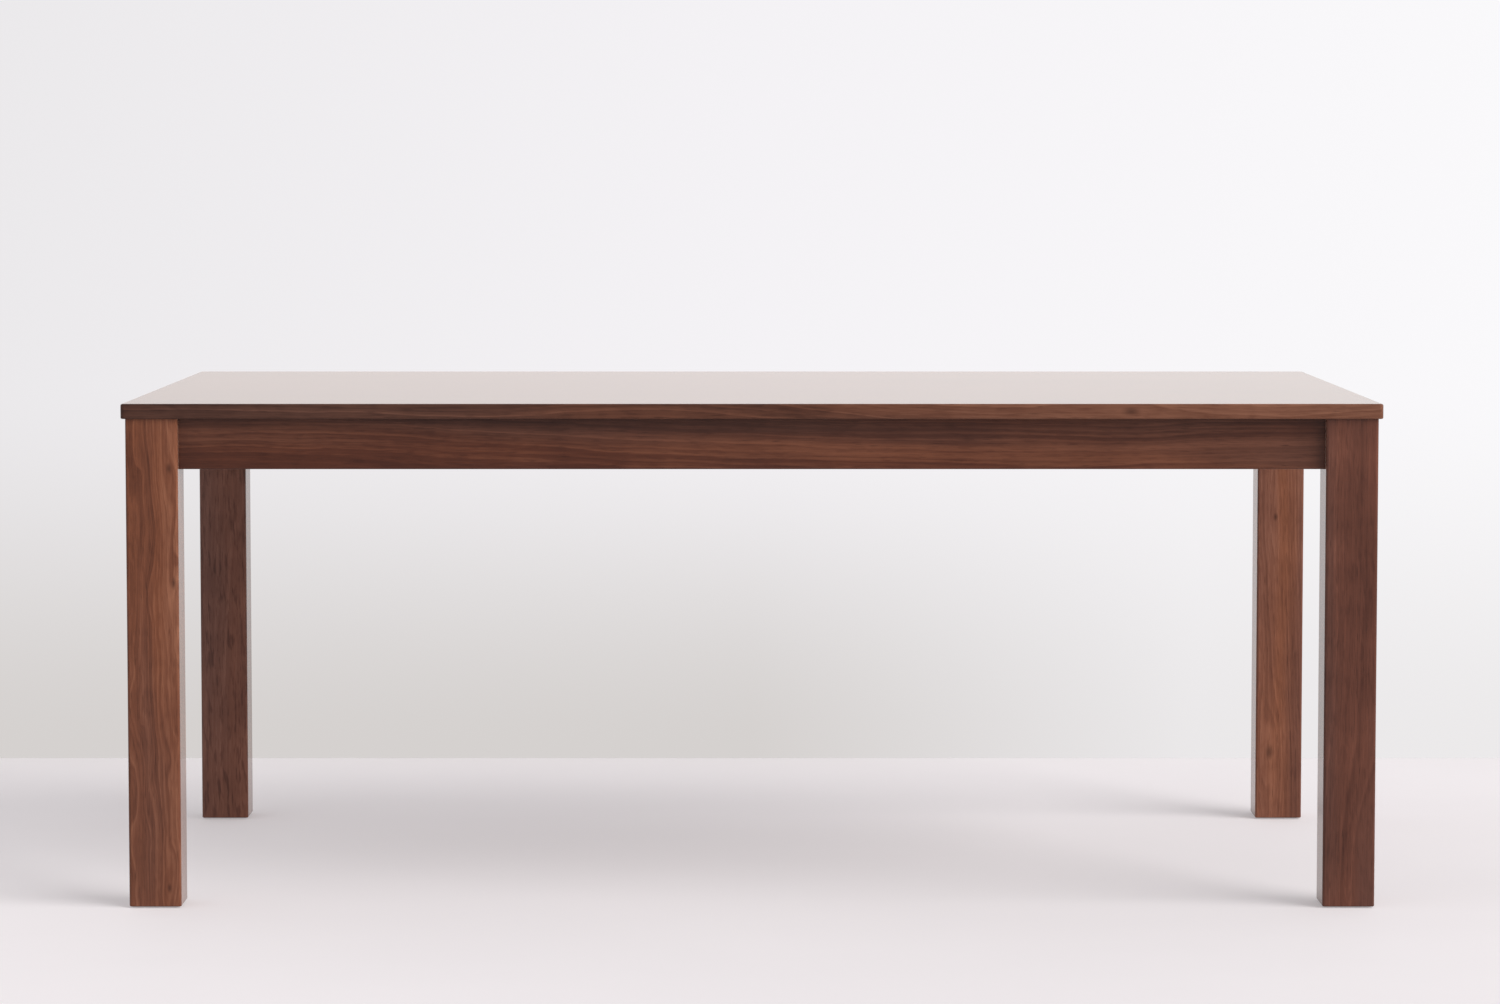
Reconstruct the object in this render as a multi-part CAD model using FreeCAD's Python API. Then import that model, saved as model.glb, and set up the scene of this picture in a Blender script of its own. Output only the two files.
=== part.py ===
import FreeCAD, Part
import math
import os

from FreeCAD import Placement, Rotation, Vector

# Parsons dining table in solid walnut, modelled as the pieces it comes apart into.
# Millimetres. X runs along the length, Y from front to back and Z up from the floor,
# with the origin on the floor under the middle of the top.

# Overall size
TABLE_LENGTH = 1829.0
TABLE_DEPTH = 1016.0
TABLE_HEIGHT = 737.0

# Top: boards glued edge to edge, then eased all round as one panel
TOP_THICKNESS = 22.0
TOP_OVERHANG = 6.0
TOP_CORNER_RADIUS = 6.0
TOP_UPPER_EASE = 3.0
TOP_LOWER_EASE = 2.0
BOARD_WIDTH_SHARES = (0.13, 0.15, 0.14, 0.16, 0.14, 0.15, 0.13)

# Legs: square posts with a flat across the inner corner that the bolts stand on
LEG_SIDE = 76.0
LEG_EDGE_RADIUS = 4.0
LEG_FOOT_EASE = 2.0
LEG_FLAT_DEPTH = 10.0

# Aprons: set back from the leg faces, with a saw groove inside for the top clips
APRON_HEIGHT = 74.0
APRON_THICKNESS = 22.0
APRON_SETBACK = 14.0
APRON_EASE = 2.0
GROOVE_DROP = 11.0
GROOVE_DEPTH = 9.0
GROOVE_CLEARANCE = 1.0

# Cross rails: on edge under the top, stub-tenoned into the long aprons
RAIL_SPACING = 425.0
RAIL_THICKNESS = 25.0
RAIL_HEIGHT = 45.0
RAIL_EASE = 2.0
TENON_LENGTH = 10.0
TENON_THICKNESS_SHARE = 0.5
TENON_HEIGHT_SHARE = 0.6
MORTISE_CLEARANCE = 0.2
MORTISE_END_GAP = 1.0
RAIL_SCREW_GRIP = 20.0
RAIL_SCREW_BOARDS = ("top_board_2", "top_board_4", "top_board_6")

# Corner blocks: mitred across the corner, clear of the leg so that the bolts can pull it up
BLOCK_THICKNESS = 28.0
BLOCK_GAP = 4.0
BLOCK_INSET = 8.0
BLOCK_TIP = 6.0
BLOCK_SCREW_GRIP = 12.0
BLOCK_SCREW_PLACE_SHARE = 0.6
BLOCK_SCREW_SPACING_SHARE = 0.52

# Hanger bolts with flat washers, split lock washers and hexagon nuts
BOLT_RADIUS = 4.0
BOLT_SPACING_SHARE = 0.55
BOLT_BITE = 45.0
BOLT_POINT = 7.0
BOLT_END = 5.0
BOLT_CHAMFER = 0.8
BOLT_CLEARANCE = 0.5
WASHER_WIDTH = 5.5
WASHER_THICKNESS = 1.8
LOCK_WASHER_WIDTH = 3.4
LOCK_WASHER_THICKNESS = 2.0
LOCK_WASHER_SPLIT = 1.6
NUT_WALL = 2.5
NUT_HEIGHT = 6.5
NUT_CHAMFER_ANGLE = 30.0

# Wood screws: one pan-head pattern, with the grip set by what each one holds
SCREW_RADIUS = 2.0
SCREW_HEAD_RIM = 2.0
SCREW_HEAD_HEIGHT = 2.6
SCREW_HEAD_CHAMFER = 1.0
SCREW_POINT = 4.0
SCREW_BITE = 14.0
SCREW_CLEARANCE = 0.5
COUNTERBORE_CLEARANCE = 0.8
PILOT_END_GAP = 1.0

# Top clips: bent steel, a tab in the apron's groove and a foot screwed up into the top
CLIP_WIDTH = 25.0
CLIP_THICKNESS = 2.0
CLIP_FOOT = 24.0
CLIP_BEND = 1.2
CLIP_CORNER = 3.0
CLIP_APRON_GAP = 1.8
CLIP_TAB_GAP = 1.0
END_CLIP_BOARDS = ("top_board_3", "top_board_5")

# Foot glides: nylon discs nailed under the legs
GLIDE_RADIUS = 14.0
GLIDE_WEB = 1.0
GLIDE_EASE = 0.6
NAIL_RADIUS = 1.2
NAIL_LENGTH = 14.0
NAIL_POINT = 3.0
NAIL_HEAD_RIM = 2.4
NAIL_HEAD_HEIGHT = 0.7
NAIL_RECESS = 0.3
NAIL_HEAD_CLEARANCE = 0.4

# Bite of a thread or a nail in its hole, how far cutters run past, and how near counts as at
THREAD_CLEARANCE = 0.05
CUT_OVERRUN = 5.0
NEAR = 0.001

# Sizes that follow from the ones above
BLOCK_HEIGHT = APRON_HEIGHT - 2 * BLOCK_INSET
GROOVE_HEIGHT = CLIP_THICKNESS + GROOVE_CLEARANCE
CLIP_TAB = GROOVE_DEPTH - CLIP_TAB_GAP
CLIP_STANDOFF = CLIP_BEND + CLIP_APRON_GAP
CLIP_SCREW_REACH = CLIP_STANDOFF + (CLIP_THICKNESS + CLIP_FOOT) / 2
NUT_ACROSS_FLATS = 2 * (BOLT_RADIUS + NUT_WALL)
SCREW_HEAD_RADIUS = SCREW_RADIUS + SCREW_HEAD_RIM
NAIL_HEAD_RADIUS = NAIL_RADIUS + NAIL_HEAD_RIM
NAIL_HEAD_TOP = NAIL_RECESS + NAIL_HEAD_HEIGHT
GLIDE_HEIGHT = NAIL_HEAD_TOP + GLIDE_WEB

# What a hanger bolt passes on its way out of the leg's flat
WASHER_START = BLOCK_GAP + BLOCK_THICKNESS
LOCK_WASHER_START = WASHER_START + WASHER_THICKNESS
NUT_START = LOCK_WASHER_START + LOCK_WASHER_THICKNESS
BOLT_TOP = NUT_START + NUT_HEIGHT + BOLT_END

# Places that follow, for the corner at +X +Y
UNDERSIDE_Z = TABLE_HEIGHT - TOP_THICKNESS
APRON_BOTTOM_Z = UNDERSIDE_Z - APRON_HEIGHT
APRON_MIDDLE_Z = UNDERSIDE_Z - APRON_HEIGHT / 2
GROOVE_TOP_Z = UNDERSIDE_Z - GROOVE_DROP
LEG_OUTER_X = TABLE_LENGTH / 2 - TOP_OVERHANG
LEG_OUTER_Y = TABLE_DEPTH / 2 - TOP_OVERHANG
LEG_INNER_X = LEG_OUTER_X - LEG_SIDE
LEG_INNER_Y = LEG_OUTER_Y - LEG_SIDE
END_APRON_INNER_X = LEG_OUTER_X - APRON_SETBACK - APRON_THICKNESS
LONG_APRON_INNER_Y = LEG_OUTER_Y - APRON_SETBACK - APRON_THICKNESS
LEG_PAST_APRON = LEG_SIDE - APRON_SETBACK - APRON_THICKNESS
BLOCK_OUTER = BLOCK_GAP - LEG_FLAT_DEPTH
BLOCK_INNER = BLOCK_OUTER + BLOCK_THICKNESS

EAST = Vector(1, 0, 0)
NORTH = Vector(0, 1, 0)
UP = Vector(0, 0, 1)
INWARD = Vector(-1, -1, 0).normalize()
LEG_CORNER = Vector(LEG_INNER_X, LEG_INNER_Y, APRON_MIDDLE_Z)
RAIL_PLACES = {"left": -RAIL_SPACING, "centre": 0, "right": RAIL_SPACING}
CORNERS = {
    "front_left": (-1, -1),
    "front_right": (1, -1),
    "back_left": (-1, 1),
    "back_right": (1, 1),
}


# Shapes

def box(low, high):
    """Box between two opposite corners."""
    size = high - low
    return Part.makeBox(size.x, size.y, size.z, low)


def prism(outline, low_z, high_z):
    """Upright prism on a plan outline of (x, y) points."""
    corners = [Vector(x, y, low_z) for x, y in outline]
    face = Part.Face(Part.makePolygon(corners + corners[:1]))
    return face.extrude(UP * (high_z - low_z))


def turned(half_outline):
    """Solid turned about Z from a half outline of (radius, height) points."""
    corners = [Vector(radius, 0, height) for radius, height in half_outline]
    face = Part.Face(Part.makePolygon(corners + corners[:1]))
    return face.revolve(Vector(), UP, 360)


def aimed(shape, seat, direction):
    """Copy of a shape made along +Z, moved to a seat and turned to a direction."""
    copy = shape.copy()
    copy.Placement = Placement(seat, Rotation(UP, direction))
    return copy


def drill(radius, mouth, direction, depth):
    """Cutter for a round hole that runs into the work from its mouth."""
    cutter = Part.makeCylinder(radius, depth + CUT_OVERRUN)
    return aimed(cutter, mouth - direction * CUT_OVERRUN, direction)


def in_corner(shape, corner):
    """Copy of a piece made for the +X +Y corner, mirrored to the named corner."""
    side_x, side_y = CORNERS[corner]
    if side_x < 0:
        shape = shape.mirror(Vector(), EAST)
    if side_y < 0:
        shape = shape.mirror(Vector(), NORTH)
    return shape


def edges_at(edges, height):
    """Those edges that lie wholly at one height."""
    return [e for e in edges if all(abs(v.Z - height) < NEAR for v in e.Vertexes)]


def edges_along(edges, direction):
    """Those edges that run straight along a direction."""
    straight = [e for e in edges if isinstance(e.Curve, Part.Line)]
    return [e for e in straight if e.tangentAt(e.FirstParameter).cross(direction).Length < NEAR]


# Where the fasteners go

def board_edges():
    """Y of the front and back edge of every board, by its name, from the front of the top."""
    edges = {}
    front = -TABLE_DEPTH / 2
    for number, share in enumerate(BOARD_WIDTH_SHARES, start=1):
        back = front + share * TABLE_DEPTH
        edges[f"top_board_{number}"] = (front, back)
        front = back
    return edges


def board_middle(name):
    """Y of the middle of a board."""
    front, back = board_edges()[name]
    return (front + back) / 2


def block_end(distance):
    """How far along the apron, from the leg, a plane across the corner meets its inner face."""
    return LEG_PAST_APRON + distance * math.sqrt(2)


def clip_seats():
    """For each top clip, its point on the apron's inner face under the top, and the way inward.

    A long apron has one in the middle of each bay between its corner blocks and the rails,
    and an end apron has them under the middles of boards, clear of the glue lines.
    """
    reach = LEG_INNER_X - block_end(BLOCK_INNER)
    stops = [-reach, *RAIL_PLACES.values(), reach]
    seats = []
    for side in (-1, 1):
        for start, end in zip(stops, stops[1:]):
            point = Vector((start + end) / 2, side * LONG_APRON_INNER_Y, UNDERSIDE_Z)
            seats.append((point, NORTH * -side))
        for board in END_CLIP_BOARDS:
            point = Vector(side * END_APRON_INNER_X, board_middle(board), UNDERSIDE_Z)
            seats.append((point, EAST * -side))
    return seats


def clip_screw_seats():
    """Where each clip screw's head bears on the clip's foot."""
    return [point + inward * CLIP_SCREW_REACH - UP * CLIP_THICKNESS for point, inward in clip_seats()]


def rail_screw_seats(rail_x):
    """Where the screws of one cross rail bear, each under the middle of a board."""
    return [Vector(rail_x, board_middle(board), UNDERSIDE_Z - RAIL_SCREW_GRIP)
            for board in RAIL_SCREW_BOARDS]


def bolt_seats():
    """Centres of the two bolts on the leg's corner flat."""
    middle = LEG_CORNER - INWARD * LEG_FLAT_DEPTH
    rise = UP * (BOLT_SPACING_SHARE * BLOCK_HEIGHT / 2)
    return [middle - rise, middle + rise]


def block_screw_seats():
    """Head seat and direction of the four screws through one corner block."""
    place = block_end(BLOCK_INNER - BLOCK_SCREW_PLACE_SHARE * BLOCK_THICKNESS)
    rise = BLOCK_SCREW_SPACING_SHARE * BLOCK_HEIGHT / 2
    seats = []
    for z in (APRON_MIDDLE_Z - rise, APRON_MIDDLE_Z + rise):
        long_seat = Vector(LEG_INNER_X - place, LONG_APRON_INNER_Y - BLOCK_SCREW_GRIP, z)
        end_seat = Vector(END_APRON_INNER_X - BLOCK_SCREW_GRIP, LEG_INNER_Y - place, z)
        seats.append((long_seat, NORTH))
        seats.append((end_seat, EAST))
    return seats


def pilot(seat, direction, grip):
    """Cutter for a screw's pilot hole, in the piece past its grip."""
    mouth = seat + direction * grip
    return drill(SCREW_RADIUS + THREAD_CLEARANCE, mouth, direction, SCREW_BITE + PILOT_END_GAP)


def screw_cutters(seat, direction, grip, bore_depth):
    """Cutters for a screw's clearance hole through its grip and the counterbore behind its head."""
    shank = Part.makeCylinder(SCREW_RADIUS + SCREW_CLEARANCE, grip + CUT_OVERRUN)
    bore = Part.makeCylinder(SCREW_HEAD_RADIUS + COUNTERBORE_CLEARANCE, bore_depth + CUT_OVERRUN)
    return [aimed(shank, seat, direction), aimed(bore, seat, -direction)]


# Wooden pieces

def top_boards():
    """The boards of the top, by name from the front, with pilot holes underneath."""
    low = Vector(-TABLE_LENGTH / 2, -TABLE_DEPTH / 2, UNDERSIDE_Z)
    high = Vector(TABLE_LENGTH / 2, TABLE_DEPTH / 2, TABLE_HEIGHT)
    panel = box(low, high)
    panel = panel.makeFillet(TOP_CORNER_RADIUS, edges_along(panel.Edges, UP))
    panel = panel.makeFillet(TOP_UPPER_EASE, edges_at(panel.Edges, TABLE_HEIGHT))
    panel = panel.makeFillet(TOP_LOWER_EASE, edges_at(panel.Edges, UNDERSIDE_Z))
    holes = [pilot(seat, UP, CLIP_THICKNESS) for seat in clip_screw_seats()]
    for rail_x in RAIL_PLACES.values():
        holes += [pilot(seat, UP, RAIL_SCREW_GRIP) for seat in rail_screw_seats(rail_x)]
    panel = panel.cut(holes)
    overrun = Vector(CUT_OVERRUN, 0, CUT_OVERRUN)
    boards = {}
    for name, (front, back) in board_edges().items():
        strip = box(Vector(low.x, front, low.z) - overrun, Vector(high.x, back, high.z) + overrun)
        boards[name] = panel.common(strip)
    return boards


def leg():
    """Leg of the +X +Y corner: eased post with its bolt flat, bolt holes and nail hole."""
    post = box(Vector(LEG_INNER_X, LEG_INNER_Y, GLIDE_HEIGHT),
               Vector(LEG_OUTER_X, LEG_OUTER_Y, UNDERSIDE_Z))
    post = post.makeFillet(LEG_EDGE_RADIUS, edges_along(post.Edges, UP))
    post = post.makeFillet(LEG_FOOT_EASE, edges_at(post.Edges, GLIDE_HEIGHT))
    reach = LEG_FLAT_DEPTH * math.sqrt(2) + CUT_OVERRUN
    outline = [
        (LEG_INNER_X - CUT_OVERRUN, LEG_INNER_Y - CUT_OVERRUN),
        (LEG_INNER_X + reach, LEG_INNER_Y - CUT_OVERRUN),
        (LEG_INNER_X - CUT_OVERRUN, LEG_INNER_Y + reach),
    ]
    cutters = [prism(outline, APRON_BOTTOM_Z, UNDERSIDE_Z + CUT_OVERRUN)]
    hole_depth = BOLT_BITE + PILOT_END_GAP
    for seat in bolt_seats():
        cutters.append(drill(BOLT_RADIUS + THREAD_CLEARANCE, seat, -INWARD, hole_depth))
    nail_depth = NAIL_LENGTH - NAIL_HEAD_TOP + PILOT_END_GAP
    cutters.append(drill(NAIL_RADIUS + THREAD_CLEARANCE, foot_centre(GLIDE_HEIGHT), UP, nail_depth))
    return post.cut(cutters)


def tenon(rail_x, clearance, end_gap):
    """Stub tenons of one cross rail as a single bar, or the bar that cuts their mortises."""
    half = Vector(TENON_THICKNESS_SHARE * RAIL_THICKNESS / 2 + clearance,
                  LONG_APRON_INNER_Y + TENON_LENGTH + end_gap,
                  TENON_HEIGHT_SHARE * RAIL_HEIGHT / 2 + clearance)
    middle = Vector(rail_x, 0, UNDERSIDE_Z - RAIL_HEIGHT / 2)
    return box(middle - half, middle + half)


def cross_rail(rail_x):
    """Cross rail with a stub tenon at each end and counterbored holes for its screws."""
    body = box(Vector(rail_x - RAIL_THICKNESS / 2, -LONG_APRON_INNER_Y, UNDERSIDE_Z - RAIL_HEIGHT),
               Vector(rail_x + RAIL_THICKNESS / 2, LONG_APRON_INNER_Y, UNDERSIDE_Z))
    lower = edges_at(body.Edges, UNDERSIDE_Z - RAIL_HEIGHT)
    body = body.makeFillet(RAIL_EASE, edges_along(lower, NORTH))
    body = body.fuse(tenon(rail_x, 0, 0)).removeSplitter()
    cutters = []
    for seat in rail_screw_seats(rail_x):
        cutters += screw_cutters(seat, UP, RAIL_SCREW_GRIP, RAIL_HEIGHT - RAIL_SCREW_GRIP)
    return body.cut(cutters)


def block_pilots(direction, corners):
    """Pilot holes of the corner block screws that run one way, in the named corners."""
    return [in_corner(pilot(seat, way, BLOCK_SCREW_GRIP), corner) for corner in corners
            for seat, way in block_screw_seats() if way == direction]


def long_apron():
    """Back apron with its groove, mortises and pilot holes; the front one mirrors it."""
    low = Vector(-LEG_INNER_X, LONG_APRON_INNER_Y, APRON_BOTTOM_Z)
    high = Vector(LEG_INNER_X, LONG_APRON_INNER_Y + APRON_THICKNESS, UNDERSIDE_Z)
    board = box(low, high)
    lower = edges_along(edges_at(board.Edges, APRON_BOTTOM_Z), EAST)
    groove = box(Vector(low.x - CUT_OVERRUN, low.y - CUT_OVERRUN, GROOVE_TOP_Z - GROOVE_HEIGHT),
                 Vector(high.x + CUT_OVERRUN, low.y + GROOVE_DEPTH, GROOVE_TOP_Z))
    mortises = [tenon(x, MORTISE_CLEARANCE, MORTISE_END_GAP) for x in RAIL_PLACES.values()]
    pilots = block_pilots(NORTH, ("back_left", "back_right"))
    return board.makeFillet(APRON_EASE, lower).cut([groove] + mortises + pilots)


def end_apron():
    """Right apron with its groove and pilot holes; the left one mirrors it."""
    low = Vector(END_APRON_INNER_X, -LEG_INNER_Y, APRON_BOTTOM_Z)
    high = Vector(END_APRON_INNER_X + APRON_THICKNESS, LEG_INNER_Y, UNDERSIDE_Z)
    board = box(low, high)
    lower = edges_along(edges_at(board.Edges, APRON_BOTTOM_Z), NORTH)
    groove = box(Vector(low.x - CUT_OVERRUN, low.y - CUT_OVERRUN, GROOVE_TOP_Z - GROOVE_HEIGHT),
                 Vector(low.x + GROOVE_DEPTH, high.y + CUT_OVERRUN, GROOVE_TOP_Z))
    pilots = block_pilots(EAST, ("front_right", "back_right"))
    return board.makeFillet(APRON_EASE, lower).cut([groove] + pilots)


def corner_block():
    """Block across the +X +Y corner, with blunt tips, bolt holes and counterbored screw holes."""
    near, far = block_end(BLOCK_OUTER), block_end(BLOCK_INNER) - BLOCK_TIP
    outline = [
        (LEG_INNER_X - near, LONG_APRON_INNER_Y),
        (LEG_INNER_X - far, LONG_APRON_INNER_Y),
        (LEG_INNER_X - far, LONG_APRON_INNER_Y - BLOCK_TIP),
        (END_APRON_INNER_X - BLOCK_TIP, LEG_INNER_Y - far),
        (END_APRON_INNER_X, LEG_INNER_Y - far),
        (END_APRON_INNER_X, LEG_INNER_Y - near),
    ]
    low_z = APRON_BOTTOM_Z + BLOCK_INSET
    block = prism(outline, low_z, low_z + BLOCK_HEIGHT)
    cutters = []
    for seat in bolt_seats():
        cutters.append(drill(BOLT_RADIUS + BOLT_CLEARANCE, seat, INWARD, WASHER_START + CUT_OVERRUN))
    for seat, way in block_screw_seats():
        cutters += screw_cutters(seat, way, BLOCK_SCREW_GRIP, BLOCK_THICKNESS)
    return block.cut(cutters)


# Fasteners

def hanger_bolt():
    """Hanger bolt along +Z from the leg's flat, with its wood-screw end below."""
    return turned([
        (0, -BOLT_BITE),
        (BOLT_RADIUS, BOLT_POINT - BOLT_BITE),
        (BOLT_RADIUS, BOLT_TOP - BOLT_CHAMFER),
        (BOLT_RADIUS - BOLT_CHAMFER, BOLT_TOP),
        (0, BOLT_TOP),
    ])


def ring(bore_radius, width, thickness):
    """Flat ring standing on Z zero."""
    disc = Part.makeCylinder(bore_radius + width, thickness)
    return disc.cut(Part.makeCylinder(bore_radius, thickness))


def flat_washer():
    """Washer that spreads the nut's load on the block."""
    return ring(BOLT_RADIUS + BOLT_CLEARANCE, WASHER_WIDTH, WASHER_THICKNESS)


def lock_washer():
    """Spring washer with its split."""
    bore_radius = BOLT_RADIUS + THREAD_CLEARANCE
    whole = ring(bore_radius, LOCK_WASHER_WIDTH, LOCK_WASHER_THICKNESS)
    split = box(Vector(0, -LOCK_WASHER_SPLIT / 2, 0),
                Vector(bore_radius + LOCK_WASHER_WIDTH + CUT_OVERRUN,
                       LOCK_WASHER_SPLIT / 2, LOCK_WASHER_THICKNESS))
    return whole.cut(split)


def hex_nut():
    """Hexagon nut, chamfered on both faces."""
    corner = NUT_ACROSS_FLATS / math.sqrt(3)
    rise = (corner - NUT_ACROSS_FLATS / 2) * math.tan(math.radians(NUT_CHAMFER_ANGLE))
    angles = [math.pi / 3 * step for step in range(6)]
    hexagon = prism([(corner * math.cos(a), corner * math.sin(a)) for a in angles], 0, NUT_HEIGHT)
    rounded = turned([
        (0, 0),
        (NUT_ACROSS_FLATS / 2, 0),
        (corner, rise),
        (corner, NUT_HEIGHT - rise),
        (NUT_ACROSS_FLATS / 2, NUT_HEIGHT),
        (0, NUT_HEIGHT),
    ])
    return hexagon.common(rounded).cut(Part.makeCylinder(BOLT_RADIUS + THREAD_CLEARANCE, NUT_HEIGHT))


def wood_screw(grip):
    """Pan-head screw that drives along +Z, with its head seated at zero."""
    length = grip + SCREW_BITE
    return turned([
        (0, -SCREW_HEAD_HEIGHT),
        (SCREW_HEAD_RADIUS - SCREW_HEAD_CHAMFER, -SCREW_HEAD_HEIGHT),
        (SCREW_HEAD_RADIUS, SCREW_HEAD_CHAMFER - SCREW_HEAD_HEIGHT),
        (SCREW_HEAD_RADIUS, 0),
        (SCREW_RADIUS, 0),
        (SCREW_RADIUS, length - SCREW_POINT),
        (0, length),
    ])


def top_clip():
    """Bent clip with its apron face at X zero, its foot along +X and the top's underside at Z zero."""
    riser, knee = CLIP_STANDOFF, CLIP_STANDOFF + CLIP_THICKNESS
    toe, sole = CLIP_STANDOFF + CLIP_FOOT, -CLIP_THICKNESS
    tab_top, tab_bottom = -GROOVE_DROP, -GROOVE_DROP - CLIP_THICKNESS
    outline = [(-CLIP_TAB, tab_bottom), (knee, tab_bottom), (knee, sole), (toe, sole),
               (toe, 0), (riser, 0), (riser, tab_top), (-CLIP_TAB, tab_top)]
    corners = [Vector(x, -CLIP_WIDTH / 2, z) for x, z in outline]
    clip = Part.Face(Part.makePolygon(corners + corners[:1])).extrude(Vector(0, CLIP_WIDTH, 0))
    bends = {(riser, tab_top): CLIP_BEND, (knee, sole): CLIP_BEND,
             (knee, tab_bottom): CLIP_BEND + CLIP_THICKNESS, (riser, 0): CLIP_BEND + CLIP_THICKNESS}
    for (x, z), radius in bends.items():
        clip = clip.makeFillet(radius, [edge_at(clip, x, z)])
    toes = [edge for edge in edges_along(clip.Edges, UP) if abs(edge.Vertexes[0].X - toe) < NEAR]
    clip = clip.makeFillet(CLIP_CORNER, toes)
    hole = Part.makeCylinder(SCREW_RADIUS + SCREW_CLEARANCE, CLIP_THICKNESS)
    hole.translate(Vector(CLIP_SCREW_REACH, 0, sole))
    return clip.cut(hole)


def edge_at(shape, x, z):
    """The edge along Y that passes through a point in the XZ plane."""
    for edge in edges_along(shape.Edges, NORTH):
        point = edge.Vertexes[0].Point
        if abs(point.x - x) < NEAR and abs(point.z - z) < NEAR:
            return edge
    raise ValueError("the clip has no edge there")


# Feet

def foot_centre(z):
    """Middle of the +X +Y leg at a height."""
    return Vector(LEG_OUTER_X - LEG_SIDE / 2, LEG_OUTER_Y - LEG_SIDE / 2, z)


def foot_glide():
    """Nylon glide under the +X +Y leg, bored for its nail and eased round the floor."""
    disc = turned([
        (NAIL_HEAD_RADIUS + NAIL_HEAD_CLEARANCE, 0),
        (GLIDE_RADIUS - GLIDE_EASE, 0),
        (GLIDE_RADIUS, GLIDE_EASE),
        (GLIDE_RADIUS, GLIDE_HEIGHT),
        (NAIL_RADIUS + THREAD_CLEARANCE, GLIDE_HEIGHT),
        (NAIL_RADIUS + THREAD_CLEARANCE, NAIL_HEAD_TOP),
        (NAIL_HEAD_RADIUS + NAIL_HEAD_CLEARANCE, NAIL_HEAD_TOP),
    ])
    return aimed(disc, foot_centre(0), UP)


def glide_nail():
    """Nail of the +X +Y glide, driven up into the leg."""
    nail = turned([
        (0, NAIL_RECESS),
        (NAIL_HEAD_RADIUS, NAIL_RECESS),
        (NAIL_HEAD_RADIUS, NAIL_HEAD_TOP),
        (NAIL_RADIUS, NAIL_HEAD_TOP),
        (NAIL_RADIUS, NAIL_RECESS + NAIL_LENGTH - NAIL_POINT),
        (0, NAIL_RECESS + NAIL_LENGTH),
    ])
    return aimed(nail, foot_centre(0), UP)


# The whole table

def bolt_stack(shape, start):
    """Copies of a shape on every hanger bolt, a distance along it from the leg's flat."""
    stack = []
    for corner in CORNERS:
        for seat in bolt_seats():
            stack.append(in_corner(aimed(shape, seat + INWARD * start, INWARD), corner))
    return stack


def top_clips():
    """A top clip on every seat, turned inward."""
    clips = []
    for point, inward in clip_seats():
        clip = top_clip()
        clip.Placement = Placement(point, Rotation(UP, math.degrees(math.atan2(inward.y, inward.x))))
        clips.append(clip)
    return clips


def fasteners():
    """Groups of like fasteners, by the name of the group."""
    block_screw = wood_screw(BLOCK_SCREW_GRIP)
    rail_screw = wood_screw(RAIL_SCREW_GRIP)
    clip_screw = wood_screw(CLIP_THICKNESS)
    return {
        "hanger_bolts": bolt_stack(hanger_bolt(), 0),
        "flat_washers": bolt_stack(flat_washer(), WASHER_START),
        "lock_washers": bolt_stack(lock_washer(), LOCK_WASHER_START),
        "hex_nuts": bolt_stack(hex_nut(), NUT_START),
        "corner_block_screws": [in_corner(aimed(block_screw, seat, way), corner)
                                for corner in CORNERS for seat, way in block_screw_seats()],
        "cross_rail_screws": [aimed(rail_screw, seat, UP)
                              for x in RAIL_PLACES.values() for seat in rail_screw_seats(x)],
        "top_clips": top_clips(),
        "clip_screws": [aimed(clip_screw, seat, UP) for seat in clip_screw_seats()],
        "glide_nails": [in_corner(glide_nail(), corner) for corner in CORNERS],
    }


def table():
    """Every node of the table, by name."""
    nodes = top_boards()
    for corner in CORNERS:
        nodes[f"leg_{corner}"] = in_corner(leg(), corner)
        nodes[f"corner_block_{corner}"] = in_corner(corner_block(), corner)
        nodes[f"foot_glide_{corner}"] = in_corner(foot_glide(), corner)
    nodes["apron_back"] = long_apron()
    nodes["apron_front"] = long_apron().mirror(Vector(), NORTH)
    nodes["apron_right"] = end_apron()
    nodes["apron_left"] = end_apron().mirror(Vector(), EAST)
    for place, rail_x in RAIL_PLACES.items():
        nodes[f"cross_rail_{place}"] = cross_rail(rail_x)
    for name, pieces in fasteners().items():
        nodes[name] = Part.makeCompound(pieces)
    return nodes


os.makedirs("parts", exist_ok=True)
for node, shape in table().items():
    shape.exportStep(f"parts/{node}.step")
    print(f"{node}: {len(shape.Solids)} solids, {shape.Volume:.0f} mm3, valid {shape.isValid()}")
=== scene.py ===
import math
from dataclasses import dataclass

import bmesh
import bpy
from mathutils import Color, Matrix, Vector


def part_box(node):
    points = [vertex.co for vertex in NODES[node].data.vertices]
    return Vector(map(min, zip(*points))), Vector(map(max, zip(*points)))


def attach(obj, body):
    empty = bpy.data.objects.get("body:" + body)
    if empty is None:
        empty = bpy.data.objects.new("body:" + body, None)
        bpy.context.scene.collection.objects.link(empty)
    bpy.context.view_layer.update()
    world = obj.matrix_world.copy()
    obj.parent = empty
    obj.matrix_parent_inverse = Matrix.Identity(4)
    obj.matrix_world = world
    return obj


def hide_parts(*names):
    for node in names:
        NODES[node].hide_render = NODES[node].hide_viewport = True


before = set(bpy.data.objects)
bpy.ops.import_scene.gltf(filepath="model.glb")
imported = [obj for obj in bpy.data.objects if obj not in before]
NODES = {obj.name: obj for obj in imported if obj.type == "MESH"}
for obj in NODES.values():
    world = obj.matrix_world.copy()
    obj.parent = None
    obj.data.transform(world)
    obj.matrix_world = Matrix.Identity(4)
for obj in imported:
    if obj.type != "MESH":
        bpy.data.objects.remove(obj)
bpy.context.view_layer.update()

CORNERS = ("front_left", "front_right", "back_left", "back_right")

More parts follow.
